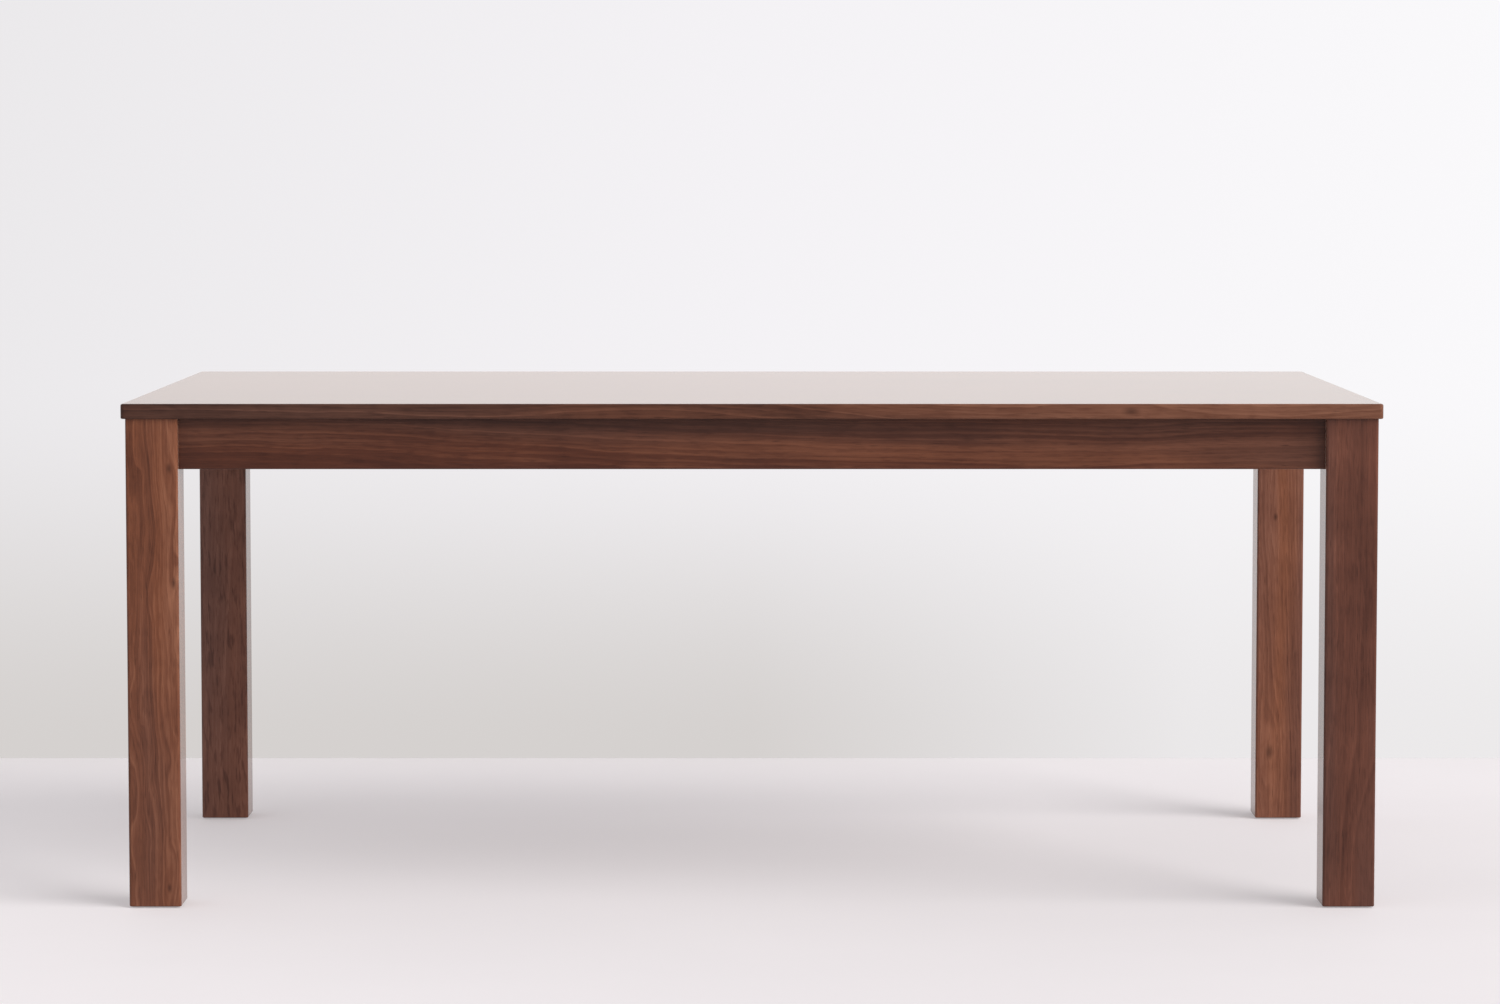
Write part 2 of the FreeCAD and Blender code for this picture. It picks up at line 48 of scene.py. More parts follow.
X, Y, Z = (1.0, 0.0, 0.0), (0.0, 1.0, 0.0), (0.0, 0.0, 1.0)
SLANT = math.sqrt(0.5)
RISING, FALLING = (SLANT, SLANT, 0.0), (SLANT, -SLANT, 0.0)


def placed(name, data):
    """New object for a mesh, a lamp or a camera, linked into the scene."""
    made = bpy.data.objects.new(name, data)
    bpy.context.scene.collection.objects.link(made)
    return made


def dress(node, material):
    """Gives a CAD node one material all over."""
    slots = NODES[node].data.materials
    for number in range(len(slots)):
        slots[number] = material


# Node graphs

FULL_TONE = 255
SHIFT_BY_SEED = (7.31, 3.17, 5.83)
FIRST_SHIFT = (0.0, 1.3, 2.9)


def tone(red, green, blue):
    """Colour given as display values out of 255, as the linear colour that the shaders take."""
    display = Color((red / FULL_TONE, green / FULL_TONE, blue / FULL_TONE))
    return (*display.from_srgb_to_scene_linear(), 1.0)


@dataclass
class Noise:
    """Soft noise that one feature of a surface follows."""

    waves: tuple            # waves for each metre, each way
    seed: float             # its own pattern, on top of the seed of the piece
    detail: float = 2.0     # number of finer layers
    rough: float = 0.5      # strength of each finer layer


class Graph:
    """Nodes of a material or of the world, made in steps that each give back the socket to use next."""

    def __init__(self, owner):
        owner.use_nodes = True
        self.owner = owner
        self.tree = owner.node_tree
        self.tree.nodes.clear()

    def node(self, kind, **settings):
        """New node of a kind, with some of its properties set."""
        made = self.tree.nodes.new(kind)
        for key, value in settings.items():
            setattr(made, key, value)
        return made

    def feed(self, socket, value):
        """Links another socket into this one, or sets it to a plain value."""
        if isinstance(value, bpy.types.NodeSocket):
            self.tree.links.new(value, socket)
        else:
            socket.default_value = value

    def object_place(self):
        """Place on the surface, in the object's own frame."""
        return self.node("ShaderNodeTexCoord").outputs["Object"]

    def math(self, operation, *values):
        """Result of one step of arithmetic."""
        made = self.node("ShaderNodeMath", operation=operation)
        for socket, value in zip(made.inputs, values):
            self.feed(socket, value)
        return made.outputs[0]

    def add(self, *values):
        """Sum of all the values."""
        total = values[0]
        for value in values[1:]:
            total = self.math("ADD", total, value)
        return total

    def scaled(self, value, factor, offset=0.0):
        """Value times a factor, plus an offset."""
        return self.math("MULTIPLY_ADD", value, factor, offset)

    def between(self, value, low, high):
        """Value from 0 to 1, as a level from low to high."""
        return self.scaled(value, high - low, low)

    def swung(self, value, spread):
        """Value from 0 to 1, as a swing of this spread about zero."""
        return self.between(value, -spread / 2, spread / 2)

    def vector(self, operation, *values):
        """Result of one step of vector arithmetic, which is a number for a product or a length."""
        made = self.node("ShaderNodeVectorMath", operation=operation)
        for socket, value in zip(made.inputs, values):
            self.feed(socket, value)
        return made.outputs["Value" if operation in ("DOT_PRODUCT", "LENGTH") else "Vector"]

    def split(self, vector):
        """The three parts of a vector."""
        made = self.node("ShaderNodeSeparateXYZ")
        self.feed(made.inputs[0], vector)
        return tuple(made.outputs)

    def joined(self, x, y, z):
        """Vector of three parts."""
        made = self.node("ShaderNodeCombineXYZ")
        for socket, value in zip(made.inputs, (x, y, z)):
            self.feed(socket, value)
        return made.outputs[0]

    def noise(self, place, noise, seed=0.0, out="Fac"):
        """Noise at a place, shifted so that each seed gives another pattern."""
        shift = [rate * (seed + noise.seed) + first for rate, first in zip(SHIFT_BY_SEED, FIRST_SHIFT)]
        made = self.node("ShaderNodeTexNoise")
        self.feed(made.inputs["Vector"], self.vector("MULTIPLY_ADD", place, noise.waves, shift))
        self.feed(made.inputs["Scale"], 1.0)
        self.feed(made.inputs["Detail"], noise.detail)
        self.feed(made.inputs["Roughness"], noise.rough)
        return made.outputs[out]

    def step(self, value, start, end):
        """Smooth rise from 0 at the start value to 1 at the end value."""
        made = self.node("ShaderNodeMapRange", interpolation_type="SMOOTHSTEP")
        self.feed(made.inputs["Value"], value)
        self.feed(made.inputs["From Min"], start)
        self.feed(made.inputs["From Max"], end)
        return made.outputs["Result"]

    def ramp(self, value, stops):
        """Colour, or level of grey, that runs from stop to stop."""
        made = self.node("ShaderNodeValToRGB")
        self.feed(made.inputs[0], value)
        band = made.color_ramp.elements
        while len(band) < len(stops):
            band.new(0.5)
        for element, (place, shade) in zip(band, stops):
            element.position = place
            element.color = shade if isinstance(shade, tuple) else (shade, shade, shade, 1.0)
        return made.outputs["Color"]

    def blended(self, share, first, second):
        """Mix of two colours, with this share of the second one."""
        made = self.node("ShaderNodeMix", data_type="RGBA")
        sockets = {socket.identifier: socket for socket in (*made.inputs, *made.outputs)}
        self.feed(sockets["Factor_Float"], share)
        self.feed(sockets["A_Color"], first)
        self.feed(sockets["B_Color"], second)
        return sockets["Result_Color"]

    def bump(self, height, strength, distance):
        """Normals of a surface with a fine relief."""
        made = self.node("ShaderNodeBump")
        self.feed(made.inputs["Height"], height)
        self.feed(made.inputs["Strength"], strength)
        self.feed(made.inputs["Distance"], distance)
        return made.outputs["Normal"]

    def seen(self):
        """One for what the camera sees straight, in a gloss or through a clear piece, and else zero."""
        path = self.node("ShaderNodeLightPath").outputs
        second_hand = self.math("MAXIMUM", path["Is Glossy Ray"], path["Is Transmission Ray"])
        return self.math("MAXIMUM", path["Is Camera Ray"], second_hand)

    def principled(self, **values):
        """Principled shader, with the inputs that are named here with an underscore for each space."""
        shader = self.node("ShaderNodeBsdfPrincipled")
        for name, value in values.items():
            self.feed(shader.inputs[name.replace("_", " ")], value)
        return shader.outputs[0]

    def show(self, shader, output="ShaderNodeOutputMaterial"):
        """Makes a shader the surface of the material or of the world, and gives back its owner."""
        self.feed(self.node(output).inputs["Surface"], shader)
        return self.owner


# Walnut, with its noises along the grain, across the face and through the piece

# Directions along the grain, across the face and through the piece
GRAIN = {
    "board": (X, Y, Z),
    "long_apron": (X, Z, Y),
    "end_apron": (Y, Z, X),
    "leg": (Z, X, Y),
    "rising_block": (RISING, Z, FALLING),
    "falling_block": (FALLING, Z, RISING),
}
END_GRAIN_EDGES = (0.75, 0.95)

# Pale, middling and dark wood, where a piece is warm in tone and where it is cool
PALETTES = {
    "rosy": (((149, 97, 71), (114, 67, 46), (72, 38, 26)),
             ((139, 95, 75), (102, 64, 50), (64, 37, 29))),
    "plum": (((139, 89, 71), (101, 61, 48), (60, 33, 26)),
             ((125, 83, 71), (91, 59, 50), (54, 34, 29))),
    "dark": (((142, 97, 80), (112, 72, 58), (77, 46, 37)),
             ((132, 94, 81), (103, 70, 60), (70, 45, 39))),
    "amber": (((170, 114, 86), (132, 82, 59), (82, 45, 32)),
              ((156, 109, 89), (118, 76, 61), (74, 44, 36))),
    "cocoa": (((130, 88, 69), (98, 61, 46), (59, 33, 25)),
              ((120, 86, 71), (90, 60, 49), (55, 34, 28))),
    "apron": (((114, 69, 49), (80, 43, 30), (46, 21, 15)),
              ((98, 62, 49), (69, 41, 32), (42, 21, 17))),
}
SHADE_STOPS = (0.12, 0.5, 0.9)
HUE = Noise((1.2, 14.0, 14.0), seed=6)
HUE_EDGES = (0.35, 0.65)

# Line of the trunk's heart: a slow drift and a ripple, spread over so many times a cut's wander and wobble
DRIFT = Noise((1.3, 3.0, 3.0), seed=0, detail=1.0)
DRIFT_SPREAD = 4.0
RIPPLE = Noise((6.0, 22.0, 22.0), seed=1)
RIPPLE_SPREAD = 2.0

# Knots: long ovals that the ripple bends, each with a dark core and with a swirl so many times its size
KNOT_BEND = Vector((0.006, 0.008, 0.008))
SWIRL_SQUEEZE = (0.22, 1.0, 1.0)
SWIRL_REACH = 4.5
SWIRL_PALENESS = 0.07
CORE_SQUEEZE = (0.5, 1.0, 1.0)
CORE_SHARE = 0.6
CORE_TONE = tone(44, 21, 15)

# Rings: waves of their uneven widths out from the heart and along the grain, and a step by seed
UNEVEN = Noise((60.0, 0.3, 1.0), seed=0)
UNEVEN_SPREAD = 3.0
RING_DARKNESS = ((0.0, 0.45), (0.12, 0.0), (0.3, 0.22), (0.5, 0.45),
                 (0.85, 0.55), (0.95, 0.68), (1.0, 0.45))

# Streaks and lines along the rings: waves along the grain and out from the heart, and a step by seed
STREAK = Noise((0.5, 24.0, 0.37), seed=2, detail=3.0)
LINE = Noise((1.6, 330.0, 0.53), seed=7, detail=3.0, rough=0.6)

# Fibres, a figure across the grain, and flecks that lean along it by so much for each step sideways
FIBRE = Noise((7.0, 420.0, 420.0), seed=3, detail=3.0, rough=0.6)
FIGURE = Noise((14.0, 7.0, 7.0), seed=4)
FLECK = Noise((38.0, 210.0, 210.0), seed=8, detail=1.0)
FLECK_LEAN = (1.0, 0.8, 0.8)
FLECK_EDGES = (0.5, 0.7)

# What each of these does to the shade
MIDDLE_SHADE = 0.5
RING_PALENESS = 0.11
RING_SPREAD = 0.26
EACH_RING_SPREAD = 0.08
LINE_SPREAD = 0.5
STREAK_SPREAD = 1.0
FIBRE_SPREAD = 0.36
FIGURE_SPREAD = 0.3
FLECK_PALENESS = 0.04
FLECK_DARKNESS = 0.16

# Open pores, and how much of them is left at the end of a ring
PORE = Noise((42.0, 1300.0, 1300.0), seed=5, detail=1.0)
PORE_EDGES = (0.6, 0.72)
LATE_PORES = 0.4
PORE_SHARE = 0.5
PORE_TONE = tone(34, 18, 14)

# Satin finish, and the share of its dullness that is left when it is seen along its surface
END_SHARE = 0.4
END_TONE = tone(30, 16, 12)
FILM_DULLNESS = 0.29
PORE_DULLNESS = 0.12
FIBRE_DULLNESS = 0.1
END_DULLNESS = 0.15
GLANCING_EDGES = (0.6, 0.93)
GLANCING_SHARE = 0.2
SHEEN_WEIGHT = 0.3
SHEEN_ROUGHNESS = 0.27
SHEEN_TINT = (1.0, 0.78, 0.64, 1.0)
PORE_RELIEF = -0.8
FIBRE_RELIEF = 0.3
RELIEF_STRENGTH = 0.06
RELIEF_DEPTH = 0.00005


@dataclass
class Cut:
    """How a piece of walnut is sawn from its trunk, and how lively it is."""

    grain: str              # key in GRAIN
    palette: str            # key in PALETTES
    seed: float             # place in the patterns of noise
    pith: tuple             # heart of the trunk, across and through from the middle of the piece
    ring: float             # width of a ring
    wander: float           # how far the heart's line drifts
    wobble: float           # how far the rings ripple
    taper: float = 0.02     # growth of the rings' radius for each metre along the grain
    bands: float = 1.0      # strength of the streaks
    contrast: float = 1.0   # strength of the rings and the lines
    figured: float = 1.0    # strength of the figure across the grain
    flecked: float = 0.4    # strength of the flecks
    darker: float = 0.0     # shade added all over
    slope: float = 0.0      # shade taken off for each metre along the grain
    film: float = 1.26      # index of the finish, which sets how much it mirrors
    knots: tuple = ()       # middle of each knot along, across and through, and its size


# Knots on the legs lie on the front face
leg_low, leg_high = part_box("leg_front_left")
LEG_FACE = (leg_low.y - leg_high.y) / 2

APRON_CUT = dict(palette="apron", ring=0.009, wander=0.014, wobble=0.006, contrast=0.8, bands=1.5)
BOARD_CUT = dict(grain="board", palette="cocoa", ring=0.0065, wander=0.016, wobble=0.004, film=1.22)
WALNUT_CUTS = {
    "leg_front_left": Cut("leg", "rosy", seed=3.0, pith=(-0.1, 0.05), ring=0.007, wander=0.01,
                          wobble=0.016, taper=0.03, contrast=0.95, bands=0.5, darker=0.02, slope=-0.1,
                          knots=((0.285, 0.0255, LEG_FACE, 0.006), (0.117, 0.031, LEG_FACE, 0.006),
                                 (-0.33, 0.021, LEG_FACE, 0.005))),
    "leg_front_right": Cut("leg", "plum", seed=8.0, pith=(0.06, 0.05), ring=0.007, wander=0.012,
                           wobble=0.005, contrast=0.45, bands=1.2, figured=1.5, darker=0.01, slope=0.23),
    "leg_back_left": Cut("leg", "dark", seed=12.0, pith=(0.06, 0.08), ring=0.0065, wander=0.012,
                         wobble=0.006, contrast=0.5, figured=1.5, flecked=1.2),
    "leg_back_right": Cut("leg", "amber", seed=17.0, pith=(-0.12, 0.06), ring=0.0045, wander=0.006,
                          wobble=0.004, contrast=0.65,
                          knots=((-0.247, -0.0156, LEG_FACE, 0.009), (0.1425, -0.009, LEG_FACE, 0.005))),
    # Its slope makes this apron paler towards its right end: partly the wood's own tone and partly painted
    # light from the right
    "apron_front": Cut("long_apron", seed=21.0, pith=(-0.07, 0.05), slope=0.04, **APRON_CUT),
    "apron_back": Cut("long_apron", seed=26.0, pith=(0.03, -0.09), **APRON_CUT),
    "apron_left": Cut("end_apron", seed=31.0, pith=(0.02, 0.08), **APRON_CUT),
    "apron_right": Cut("end_apron", seed=36.0, pith=(-0.03, -0.07), **APRON_CUT),
    # Its slope makes this board paler towards its right end: partly the wood's own tone and partly painted
    # light from the right
    "top_board_1": Cut(seed=41.0, pith=(0.02, -0.06), darker=0.03, slope=0.16,
                       knots=((0.549, -0.066, 0.0, 0.009),), **BOARD_CUT),
    "top_board_2": Cut(seed=46.0, pith=(-0.03, 0.07), darker=-0.02, **BOARD_CUT),
    "top_board_3": Cut(seed=51.0, pith=(0.01, -0.05), darker=0.05, **BOARD_CUT),
    "top_board_4": Cut(seed=56.0, pith=(0.04, -0.08), darker=-0.04, **BOARD_CUT),
    "top_board_5": Cut(seed=61.0, pith=(-0.02, 0.06), darker=0.03, **BOARD_CUT),
    "top_board_6": Cut(seed=66.0, pith=(-0.05, -0.06), **BOARD_CUT),
    "top_board_7": Cut(seed=71.0, pith=(0.02, 0.09), darker=0.05, **BOARD_CUT),
}


def in_piece(graph, node, grain):
    """Place in a piece, in metres from its middle, and how far its surface shows end grain.

    The place is given along the grain, across the piece's face and through it.
    """
    low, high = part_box(node)
    coordinates = graph.node("ShaderNodeTexCoord").outputs
    local = graph.vector("SUBTRACT", coordinates["Object"], (low + high) / 2)
    place = graph.joined(*(graph.vector("DOT_PRODUCT", local, way) for way in GRAIN[grain]))
    facing = graph.vector("DOT_PRODUCT", coordinates["Normal"], GRAIN[grain][0])
    return place, graph.step(graph.math("ABSOLUTE", facing), *END_GRAIN_EDGES)


def trunk_radius(graph, cut, place, ripple):
    """Distance from the trunk's heart, which wanders slowly along the piece, with rings that wobble."""
    along, across, through = graph.split(place)
    drift = graph.split(graph.noise(place, DRIFT, cut.seed, out="Color"))
    sideways, inward = (
        graph.add(graph.scaled(part, 1.0, -heart), graph.swung(slow, cut.wander * DRIFT_SPREAD),
                  graph.swung(quick, cut.wobble * RIPPLE_SPREAD))
        for part, heart, slow, quick in zip((across, through), cut.pith, drift, graph.split(ripple)))
    distance = graph.vector("LENGTH", graph.joined(sideways, inward, 0.0))
    return graph.add(distance, graph.scaled(along, cut.taper))


def round_knots(graph, cut, place, ripple, radius):
    """Parts the grain round each knot, and marks the knots' cores and the swirls about them."""
    core, swirl = 0.0, 0.0
    bend = graph.vector("MULTIPLY_ADD", ripple, KNOT_BEND, -KNOT_BEND / 2)
    for *centre, size in cut.knots:
        off = graph.vector("ADD", graph.vector("SUBTRACT", place, centre), bend)
        away = graph.vector("LENGTH", graph.vector("MULTIPLY", off, SWIRL_SQUEEZE))
        swell = graph.step(away, size * SWIRL_REACH, 0.0)
        outward = Vector((0.0, centre[1] - cut.pith[0], centre[2] - cut.pith[1])).normalized()
        parted = graph.math("MULTIPLY", graph.vector("DOT_PRODUCT", off, outward), swell)
        radius = graph.math("SUBTRACT", radius, parted)
        inside = graph.vector("LENGTH", graph.vector("MULTIPLY", off, CORE_SQUEEZE))
        core = graph.math("MAXIMUM", core, graph.step(inside, size, 0.0))
        swirl = graph.math("MAXIMUM", swirl, swell)
    return radius, core, swirl


def wood_shade(graph, cut, place, radius, count, fibre):
    """How dark the wood is, from its rings, streaks, lines, fibres, figure and flecks."""
    along, across, through = graph.split(place)
    line = graph.ramp(graph.math("FRACT", count), RING_DARKNESS)
    each = graph.node("ShaderNodeTexWhiteNoise", noise_dimensions="1D")
    graph.feed(each.inputs["W"], graph.math("FLOOR", count))
    on_ring = graph.joined(along, radius, cut.seed)
    streak = graph.noise(on_ring, STREAK, cut.seed)
    lines = graph.noise(on_ring, LINE, cut.seed)
    figure = graph.noise(place, FIGURE, cut.seed)
    leaning = graph.joined(graph.vector("DOT_PRODUCT", place, FLECK_LEAN), across, through)
    fleck = graph.step(graph.noise(leaning, FLECK, cut.seed), *FLECK_EDGES)
    palest = MIDDLE_SHADE + cut.darker - RING_PALENESS * cut.contrast
    return graph.add(
        graph.between(line, palest, palest + RING_SPREAD * cut.contrast),
        graph.scaled(along, -cut.slope),
        graph.swung(each.outputs["Value"], EACH_RING_SPREAD * cut.contrast),
        graph.swung(lines, LINE_SPREAD * cut.contrast),
        graph.swung(streak, STREAK_SPREAD * cut.bands),
        graph.swung(fibre, FIBRE_SPREAD),
        graph.swung(figure, FIGURE_SPREAD * cut.figured),
        graph.between(fleck, -FLECK_PALENESS * cut.flecked, FLECK_DARKNESS * cut.flecked),
    )


def wood_colour(graph, cut, place, shade):
    """Colour of the wood by its shade, warm in some stretches and cool in others."""
    hue = graph.step(graph.noise(place, HUE, cut.seed), *HUE_EDGES)
    ramps = []
    for tones in PALETTES[cut.palette]:
        stops = [(stop, tone(*colour)) for stop, colour in zip(SHADE_STOPS, tones)]
        ramps.append(graph.ramp(shade, stops))
    return graph.blended(hue, *ramps)


def glancing(graph, dull):
    """Dullness of a satin film, which turns mirror-like when it is seen along its surface."""
    facing = graph.node("ShaderNodeLayerWeight").outputs["Facing"]
    left = graph.between(graph.step(facing, *GLANCING_EDGES), 1.0, GLANCING_SHARE)
    return graph.math("MULTIPLY", dull, left)


def walnut(node, cut):
    """Solid walnut under a satin film."""
    graph = Graph(bpy.data.materials.new("walnut_" + node))
    place, end = in_piece(graph, node, cut.grain)
    ripple = graph.noise(place, RIPPLE, cut.seed, out="Color")
    radius = trunk_radius(graph, cut, place, ripple)
    if cut.knots:
        radius, core, swirl = round_knots(graph, cut, place, ripple, radius)

    # Rings of uneven width: pale early wood that darkens to a thin line
    along = graph.split(place)[0]
    uneven = graph.noise(graph.joined(radius, along, cut.seed), UNEVEN, cut.seed)
    count = graph.add(graph.scaled(radius, 1 / cut.ring), graph.scaled(uneven, UNEVEN_SPREAD))
    fibre = graph.noise(place, FIBRE, cut.seed)
    shade = wood_shade(graph, cut, place, radius, count, fibre)
    if cut.knots:
        shade = graph.add(shade, graph.scaled(swirl, -SWIRL_PALENESS))
    colour = wood_colour(graph, cut, place, shade)
    if cut.knots:
        colour = graph.blended(graph.scaled(core, CORE_SHARE), colour, CORE_TONE)

    # Open pores, most of them in the early wood
    pores = graph.step(graph.noise(place, PORE, cut.seed), *PORE_EDGES)
    pores = graph.math("MULTIPLY", pores, graph.between(graph.math("FRACT", count), 1.0, LATE_PORES))
    colour = graph.blended(graph.scaled(pores, PORE_SHARE), colour, PORE_TONE)

    # End grain takes the finish darker and duller
    colour = graph.blended(graph.scaled(end, END_SHARE), colour, END_TONE)
    dull = graph.add(graph.scaled(pores, PORE_DULLNESS, FILM_DULLNESS), graph.swung(fibre, FIBRE_DULLNESS),
                     graph.scaled(end, END_DULLNESS))
    relief = graph.add(graph.scaled(pores, PORE_RELIEF), graph.scaled(fibre, FIBRE_RELIEF))
    return graph.show(graph.principled(
        Base_Color=colour, Roughness=glancing(graph, dull), IOR=cut.film, Sheen_Weight=SHEEN_WEIGHT,
        Sheen_Roughness=SHEEN_ROUGHNESS, Sheen_Tint=SHEEN_TINT,
        Normal=graph.bump(relief, RELIEF_STRENGTH, RELIEF_DEPTH)))


def dress_walnut():
    """Gives each walnut piece the figure of its own cut."""
    for node, cut in WALNUT_CUTS.items():
        dress(node, walnut(node, cut))


# Hidden frame's hardwood, whose rings sway by so many of their own waves

HARDWOOD_BEND = Noise((2.0, 9.0, 9.0), seed=0)
HARDWOOD_SWAY = 2.0
HARDWOOD_RING = Noise((1.5, 190.0, 60.0), seed=1)
HARDWOOD_FIBRE = Noise((14.0, 600.0, 600.0), seed=2, detail=3.0, rough=0.6)
HARDWOOD_RING_SHARE = 0.9
HARDWOOD_FIBRE_SPREAD = 0.5
HARDWOOD_TONES = ((0.2, tone(196, 160, 118)), (0.5, tone(170, 132, 92)), (0.8, tone(140, 102, 68)))
HARDWOOD_END_SHARE = 0.35
HARDWOOD_END_TONE = tone(96, 66, 42)
HARDWOOD_DULLNESS = (0.5, 0.7)
HARDWOOD_FILM = 1.45
HARDWOOD_RELIEF_STRENGTH = 0.25
HARDWOOD_RELIEF_DEPTH = 0.0001
CROSS_RAIL_SEED = 80.0
CORNER_BLOCK_SEED = 95.0
SEED_STEP = 3


def hardwood(node, grain, seed):
    """Paler hardwood, sealed and matt."""
    graph = Graph(bpy.data.materials.new("hardwood_" + node))
    place, end = in_piece(graph, node, grain)
    sway = graph.scaled(graph.noise(place, HARDWOOD_BEND, seed), HARDWOOD_SWAY / HARDWOOD_RING.waves[1])
    rings = graph.noise(graph.vector("ADD", place, graph.joined(0.0, sway, 0.0)), HARDWOOD_RING, seed)
    fibre = graph.noise(place, HARDWOOD_FIBRE, seed)
    shade = graph.add(graph.scaled(rings, HARDWOOD_RING_SHARE), graph.swung(fibre, HARDWOOD_FIBRE_SPREAD))
    colour = graph.ramp(shade, HARDWOOD_TONES)
    colour = graph.blended(graph.scaled(end, HARDWOOD_END_SHARE), colour, HARDWOOD_END_TONE)
    return graph.show(graph.principled(
        Base_Color=colour, Roughness=graph.between(fibre, *HARDWOOD_DULLNESS), IOR=HARDWOOD_FILM,
        Normal=graph.bump(fibre, HARDWOOD_RELIEF_STRENGTH, HARDWOOD_RELIEF_DEPTH)))


def dress_hidden_frame():
    """Cross rails under the top, and blocks across the corners."""
    for number, place in enumerate(("left", "centre", "right")):
        node = "cross_rail_" + place
        dress(node, hardwood(node, "end_apron", CROSS_RAIL_SEED + number * SEED_STEP))
    for number, corner in enumerate(CORNERS):
        node = "corner_block_" + corner
        grain = "falling_block" if corner in ("front_left", "back_right") else "rising_block"
        dress(node, hardwood(node, grain, CORNER_BLOCK_SEED + number * SEED_STEP))


# Fasteners: threads, driver recesses and domed heads, which the frame's solids leave out

# Sides of a turned piece, distance at which two points are one, and turn from one fastener to the next
SIDES = 24
WELD = 0.000001
SPIN = 2.4
SHARP_ANGLE = math.radians(35)
TIP_RADIUS = 0.0002

BOLT_PITCH = 0.00125
BOLT_THREAD_DEPTH = 0.0007
BOLT_THREAD_LENGTH = 0.014
BOLT_CHAMFER = 0.0009
BOLT_POINT = 0.007
RINGS_PER_PITCH = 8

SCREW_RADIUS = 0.002
SCREW_POINT = 0.004
HEAD_HEIGHT = 0.0026
HEAD_CROWN = 0.0013
HEAD_FLAT = 0.0027
CROWN_STEPS = 5
RECESS_ARMS = 4
RECESS_REACH = 0.0021
RECESS_HALF_WIDTH = 0.0005
RECESS_DEPTH = 0.0016
RECESS_TAPER = 0.55

NAIL_RADIUS = 0.0012
NAIL_POINT = 0.003
NAIL_HEAD_HEIGHT = 0.0007
NAIL_CROWN = 0.0005
NAIL_FLAT = 0.0006


def solids(node):
    """Points of each separate solid of a node."""
    shape = bmesh.new()
    shape.from_mesh(NODES[node].data)
    bmesh.ops.remove_doubles(shape, verts=shape.verts, dist=WELD)
    found = []
    for start in shape.verts:
        if start.tag:
            continue
        start.tag = True
        group = [start]
        for vert in group:
            for edge in vert.link_edges:
                other = edge.other_vert(vert)
                if not other.tag:
                    other.tag = True
                    group.append(other)
        found.append([vert.co.copy() for vert in group])
    shape.free()
    return found


def driven(points):
    """How a fastener lies: its place as moved from +Z, its widest radius and its length.

    Each one is driven outwards or upwards, so it starts at the end nearest to the origin.
    """
    middle = sum(points, Vector()) / len(points)

    def widest(way):
        return max((point - middle).cross(way).length for point in points)

    axis = min((Vector(way) for way in (X, Y, Z, RISING, FALLING)), key=widest)
    axis *= math.copysign(1.0, axis.dot(middle))
    reach = [axis.dot(point - middle) for point in points]
    turn = Vector(Z).rotation_difference(axis).to_matrix().to_4x4()
    return Matrix.Translation(middle + axis * min(reach)) @ turn, widest(axis), max(reach) - min(reach)


def ring(shape, height, radii):
    """Ring of points about +Z, with a radius for each side."""
    angles = (math.tau * side / SIDES for side in range(SIDES))
    return [shape.verts.new((radius * math.cos(angle), radius * math.sin(angle), height))
            for angle, radius in zip(angles, radii)]


def round_rings(shape, profile):
    """Rings of a plain turned stretch, from pairs of height and radius."""
    return [ring(shape, height, [radius] * SIDES) for height, radius in profile]


def skin(shape, rings):
    """Faces from each ring to the next."""
    for low, high in zip(rings, rings[1:]):
        for side in range(len(low)):
            shape.faces.new((low[side - 1], low[side], high[side], high[side - 1]))


def crowned(flat, radius, height):
    """Profile that curves from a small flat down to a rim, as pairs of height and radius."""
    angles = [math.pi / 2 * step / CROWN_STEPS for step in range(CROWN_STEPS + 1)]
    return [(height * (1 - math.cos(angle)), flat + (radius - flat) * math.sin(angle)) for angle in angles]


def recess_outline(shape, height, scale):
    """Outline of the cross that the driver fits, with three points for each arm."""
    reach, half = RECESS_REACH * scale, RECESS_HALF_WIDTH * scale
    outline = []
    for arm in range(RECESS_ARMS):
        turn = Matrix.Rotation(math.tau * arm / RECESS_ARMS, 3, "Z")
        for corner in ((reach, -half), (reach, half), (half, half)):
            outline.append(shape.verts.new(turn @ Vector((*corner, height))))
    return outline


def loop_edges(shape, loop):
    """Edges round a closed loop of points, made where there are none yet."""
    return [shape.edges.get(pair) or shape.edges.new(pair) for pair in zip(loop, loop[1:] + loop[:1])]


def hanger_bolt(shape, radius, length):
    """Machine thread at the end that the nut is on, then a plain shank with its point in the leg."""
    rings = []
    for step in range(round(BOLT_THREAD_LENGTH / BOLT_PITCH * RINGS_PER_PITCH)):
        height = step * BOLT_PITCH / RINGS_PER_PITCH
        radii = []
        for side in range(SIDES):
            groove = abs(2 * ((height / BOLT_PITCH - side / SIDES) % 1.0) - 1)
            radii.append(min(radius - BOLT_CHAMFER + height, radius - BOLT_THREAD_DEPTH * groove))
        rings.append(ring(shape, height, radii))
    rings += round_rings(shape, ((BOLT_THREAD_LENGTH, radius), (length - BOLT_POINT, radius),
                                 (length, TIP_RADIUS)))
    skin(shape, rings)
    shape.faces.new(rings[0])
    shape.faces.new(rings[-1])


def glide_nail(shape, radius, length):
    """Low domed head, a plain shank and a point."""
    rings = round_rings(shape, crowned(NAIL_FLAT, radius, NAIL_CROWN) + [
        (NAIL_HEAD_HEIGHT, radius), (NAIL_HEAD_HEIGHT, NAIL_RADIUS),
        (length - NAIL_POINT, NAIL_RADIUS), (length, TIP_RADIUS)])
    skin(shape, rings)
    shape.faces.new(rings[0])
    shape.faces.new(rings[-1])


